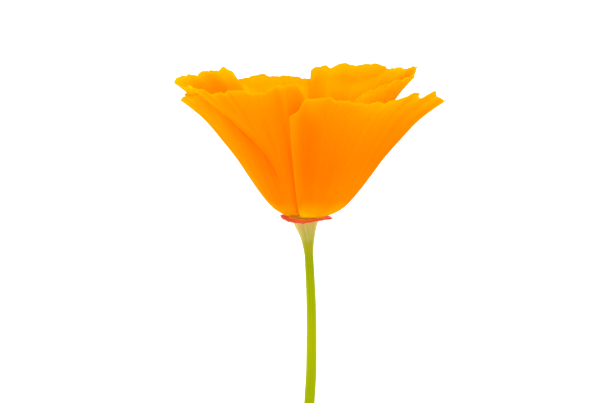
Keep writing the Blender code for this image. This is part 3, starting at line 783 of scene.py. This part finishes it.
def rest_on_surface(points, level):
    """Bends what would pass below a level up to it, smoothly."""
    soft = PRESS_SOFTNESS * MM
    above = points[:, 2] - level
    eased = np.where(above < soft, np.maximum(above + soft, 0.0) ** 2 / (4 * soft), above)
    points[:, 2] = eased + level
    return points


def petal_painted_light(petal, azimuth, share, crease_shade):
    """The UV pairs of a petal's outer and inner points: (painted light and shade, 0 outside or 1 inside).
    """
    # Painted light and shade over the outside, set by azimuth, growing in above the claw.
    outer = curve_of(petal["painted_light"], 1)(azimuth) * smooth_step(share, *PAINTED_LIGHT_SETS_IN)
    # Painted light and shade at the claw: a painted highlight above 0 and painted shade below it.
    outer += smooth_curve(petal["claw"])(azimuth) * (1.0 - smooth_step(share, *CLAW_PAINTED_LIGHT_FADES))
    inner = curve_of(petal["painted_light"], 2)(azimuth)
    pairs = []
    for side, painted_light in enumerate((outer, inner)):
        # The painted shade of a crease deepens the painted tone.
        pairs.append(np.stack([NO_TONE + TONE_STEP * (painted_light - crease_shade), np.full_like(painted_light, side)], axis=1))
    return np.concatenate(pairs)


def make_petal(name, petal, number):
    """A thin sheet with a ragged, ruffled rim, which rests on the surface where it reaches it."""
    random = np.random.default_rng(PETAL_SEED + number)
    columns, rows = PETAL_COLUMNS, PETAL_ROWS
    across = np.tile(np.linspace(0, 1, columns + 1), rows + 1)
    up = np.repeat(np.linspace(0, 1, rows + 1), columns + 1)
    width = petal["right"][-1][1] - petal["left"][-1][1]
    ragged = waves(across * width, random, RAGGED_RIM)
    points, azimuth, share, crease_shade = petal_middle(petal, across, up, ragged)
    layer = layer_at(petal, azimuth)
    outward = grid_normals(points, columns, rows)
    together = np.random.default_rng(PETAL_SEED)  # the same for every petal, so that they ruffle alike
    ruffle = waves(azimuth, together, RUFFLE) * smooth_step(share, *RUFFLE_SETS_IN)
    ruffle += waves(azimuth, together, SWELL) * smooth_step(share, *SWELL_SETS_IN)
    placed = to_part(points + outward * (LAYER_STEP * layer + ruffle)[:, None])
    beside = np.minimum(across, 1.0 - across) * width
    full = np.minimum(smooth_step(1.0 - up, 0.0, RIM_TAPER), smooth_step(beside, 0.0, MARGIN_TAPER))
    thick = RIM_SHEET + (SHEET - RIM_SHEET) * full
    # Where two petals meet on the surface, the inner one lies on the outer one.
    lift = np.where(across > 0.5, (1.0 - layer) * LAYER_STEP * MM, 0.0)
    placed = rest_on_surface(placed, thick / 2 * MM + lift)
    normal = grid_normals(placed, columns, rows) * (thick / 2 * MM)[:, None]
    outer = placed + normal
    inner = placed - normal
    outer[:, 2] = np.maximum(outer[:, 2], 0.0)
    both = np.concatenate([outer, inner])
    material = petal_material(name, number * PETAL_SHIFT, width)
    made = add_piece(name + "_fine", both, sheet_faces(columns, rows), material, name)
    uv = np.stack([across, up], axis=1)
    set_uv(made.data, "Petal", np.concatenate([uv, uv]))
    set_uv(made.data, "Tone", petal_painted_light(petal, azimuth, share, crease_shade))


def make_torus():
    """The thin red rim with its uneven edge, turned round the boss."""
    azimuths = np.linspace(0.0, 360.0, TORUS_SIDES, endpoint=False)
    signed = np.where(azimuths > 180.0, azimuths - 360.0, azimuths)
    uneven = waves(azimuths, np.random.default_rng(TORUS_SEED), RIM_WAVES)
    edge = smooth_curve(RIM_EDGE)(signed)
    further = smooth_curve(RIM_REACH)(signed)
    points = []
    uv = []
    for radius, height, out in TORUS_PROFILE:
        part = smooth_step(radius, RIM_SETS_IN, RIM_RADIUS)
        rise = (edge + uneven) * part
        reach = radius + (uneven - RIM_TRIM + further) * part
        points.append(around_axis(azimuths, reach, height + rise))
        uv.append(np.stack([azimuths / 360.0, np.full_like(azimuths, out)], axis=1))
    points = to_part(np.concatenate(points))
    faces = ring_faces(len(TORUS_PROFILE), TORUS_SIDES)
    made = add_piece("torus_fine", points, faces, torus_material(), "torus")
    set_uv(made.data, "Ring", np.concatenate(uv))


def make_stem():
    """The funnel and the stem in one piece, with fine ridges along it and a clean cut end."""
    top = flower_matrix() @ Vector((0.0, 0.0, -(RIM_THICKNESS + SEAT_GAP) * MM))
    reach = STEM_LENGTH * MM * math.cos(AXIS_RISE)
    side = smooth_curve(STEM_SIDE)
    radius = smooth_curve(STEM_RADII)
    end_height = STEM_RADII[-1][1] * STEM_END_PRESS * MM
    centres = []
    radii = []
    for ring in range(STEM_RINGS + 1):
        t = (ring / STEM_RINGS) ** STEM_CROWDING
        height = between(t, reach, top.z, end_height, -math.tan(AXIS_RISE), -STEM_END_SLOPE)
        down = t * STEM_LENGTH
        centres.append(Vector((top.x + float(side(down)) * MM, top.y - t * reach, height)))
        radii.append(float(radius(down)) * MM)
    gathered = Parts()
    gathered.tube(centres, radii, STEM_SIDES, ridges=STEM_RIDGES, ridge=STEM_RIDGE, phase=STEM_RIDGE_PHASE)
    points = [Vector((p.x, p.y, max(p.z, 0.0))) for p in gathered.points]
    made = add_piece("stem_fine", points, gathered.faces, stem_material(), "stem")
    uv = np.array(gathered.uv)
    uv[:, 1] = uv[:, 1] ** STEM_CROWDING
    set_uv(made.data, "Stem", uv)


def out_from_axis(azimuth, lean, radius, height, length):
    """The foot of something that leans out from the flower's axis, and its reach from there."""
    turned = math.radians(azimuth)
    outward = Vector((math.sin(turned), -math.cos(turned), 0.0))
    foot = outward * radius + Vector((0.0, 0.0, height))
    direction = outward * math.sin(math.radians(lean)) + Vector((0.0, 0.0, math.cos(math.radians(lean))))
    return foot, direction * length


def arched(foot, reach, bow, shares, aside=Vector((0.0, 0.0, 0.0))):
    """Points at shares of the way along a reach which arches by bow at its middle."""
    return [foot + reach * t + bow * math.sin(math.pi * t) + aside for t in shares]


def make_stamens():
    """Thin filaments on a narrow ring, each with a long anther of two lobes."""
    foot_height = BOSS_TOP + SEAT_GAP + FOOT_HEIGHT
    random = np.random.default_rng(STAMEN_SEED)
    gathered = Parts()
    ring = []
    for step in range(RING_STEPS + 1):
        angle = 2 * math.pi * step / RING_STEPS
        ring.append(Vector((RING_RADIUS * math.cos(angle), RING_RADIUS * math.sin(angle), foot_height)))
    gathered.tube(ring, [RING_TUBE_RADIUS] * len(ring), RING_SIDES)
    filament = np.linspace(0, FILAMENT_END, len(FILAMENT_RADII))
    anther = np.linspace(ANTHER_START, 1.0, ANTHER_STEPS)
    anther_radii = []
    for t in np.linspace(0, 1, ANTHER_STEPS):
        fullness = math.sin(math.pi * (ANTHER_TIP + ANTHER_SPAN * t))
        anther_radii.append(ANTHER_RADIUS * fullness**ANTHER_BLUNTNESS)
    for whorl, (count, radius, lean, length) in enumerate(STAMEN_WHORLS):
        for i in range(count):
            azimuth = 360.0 * (i + WHORL_TURN * whorl) / count
            azimuth += random.uniform(-STAMEN_AZIMUTH_SPREAD, STAMEN_AZIMUTH_SPREAD)
            tilt = lean + random.uniform(-STAMEN_LEAN_SPREAD, STAMEN_LEAN_SPREAD)
            foot, reach = out_from_axis(azimuth, tilt, radius, foot_height, length)
            bow = Vector((0.0, 0.0, length * STAMEN_BOW))
            gathered.tube(arched(foot, reach, bow, filament), FILAMENT_RADII, FILAMENT_SIDES)
            aside = reach.cross(Vector((0.0, 0.0, 1.0))).normalized()
            for lobe in (-1, 1):
                line = arched(foot, reach, bow, anther, aside * LOBE_ASIDE * lobe)
                gathered.tube(line, anther_radii, ANTHER_SIDES, squash=ANTHER_SQUASH)
    points = to_part(np.array([tuple(p) for p in gathered.points]))
    made = add_piece("stamens_fine", points, gathered.faces, stamen_material(), "stamens")
    set_uv(made.data, "Along", np.array(gathered.uv))


def make_pistil():
    """A slim ribbed ovary, widest halfway up, with spreading stigma lobes."""
    low = BOSS_TOP + SEAT_GAP
    shape = smooth_curve(PISTIL_RADII)
    gathered = Parts()
    ups = np.linspace(0, 1, PISTIL_STEPS)
    centres = [Vector((0.0, 0.0, low + PISTIL_HEIGHT * up)) for up in ups]
    radii = [float(shape(up)) for up in ups]
    gathered.tube(centres, radii, PISTIL_SIDES, ridges=PISTIL_RIBS, ridge=PISTIL_RIB)
    lobe = np.linspace(0, 1, STIGMA_STEPS)
    lobe_radii = [STIGMA_RADIUS * (1 - STIGMA_NARROWS * t) for t in lobe]
    for azimuth, length in STIGMA_LOBES:
        foot, reach = out_from_axis(azimuth, STIGMA_OUT, 0.0, low + PISTIL_HEIGHT - STIGMA_FOOT, length)
        bow = Vector((0.0, 0.0, length * STIGMA_BOW))
        gathered.tube(arched(foot, reach, bow, lobe), lobe_radii, STIGMA_SIDES)
    points = to_part(np.array([tuple(p) for p in gathered.points]))
    made = add_piece("pistil_fine", points, gathered.faces, pistil_material(), "pistil")
    set_uv(made.data, "Along", np.array(gathered.uv))


def make_floor():
    """The plain surface that the flower lies on."""
    mesh = bpy.data.meshes.new("floor")
    corners = [(x * FLOOR_HALF, y * FLOOR_HALF, 0.0) for x, y in ((-1, -1), (1, -1), (1, 1), (-1, 1))]
    mesh.from_pydata(corners, [], [(0, 1, 2, 3)])
    mesh.materials.append(floor_material())
    made = bpy.data.objects.new("floor", mesh)
    bpy.context.scene.collection.objects.link(made)


# Light and camera.


def make_lights():
    """An even white surrounding and two large soft boxes."""
    world = bpy.data.worlds.new("studio")
    bpy.context.scene.world = world
    world.use_nodes = True
    background = world.node_tree.nodes["Background"]
    background.inputs["Color"].default_value = (1.0, 1.0, 1.0, 1.0)
    background.inputs["Strength"].default_value = WORLD_STRENGTH
    for name, at, size, power in LIGHTS:
        data = bpy.data.lights.new(name, "AREA")
        data.size = size
        data.energy = power
        light = bpy.data.objects.new(name, data)
        light.location = at
        light.rotation_euler = (LIGHTS_AIM - Vector(at)).to_track_quat("-Z", "Y").to_euler()
        bpy.context.scene.collection.objects.link(light)


def make_camera():
    """Looks straight down at the flower, from far enough away to see it without much perspective."""
    low, high = (Vector(corner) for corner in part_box("torus"))
    middle = (low + high) / 2
    distance = WIDTH_SEEN / 2 / (SENSOR / 2 / LENS)
    data = bpy.data.cameras.new("camera")
    data.sensor_width = SENSOR
    data.lens = LENS
    data.clip_start = NEAREST_SEEN
    camera = bpy.data.objects.new("camera", data)
    camera.location = (middle.x + SIDE_OF_TORUS, middle.y + AHEAD_OF_TORUS, middle.z + distance)
    bpy.context.scene.collection.objects.link(camera)
    bpy.context.scene.camera = camera


for index, (petal_name, petal_values) in enumerate(PETALS.items()):
    make_petal(petal_name, petal_values, index)
make_torus()
make_stem()
make_stamens()
make_pistil()
make_floor()
make_lights()
make_camera()
bpy.context.scene.view_settings.view_transform = "Standard"
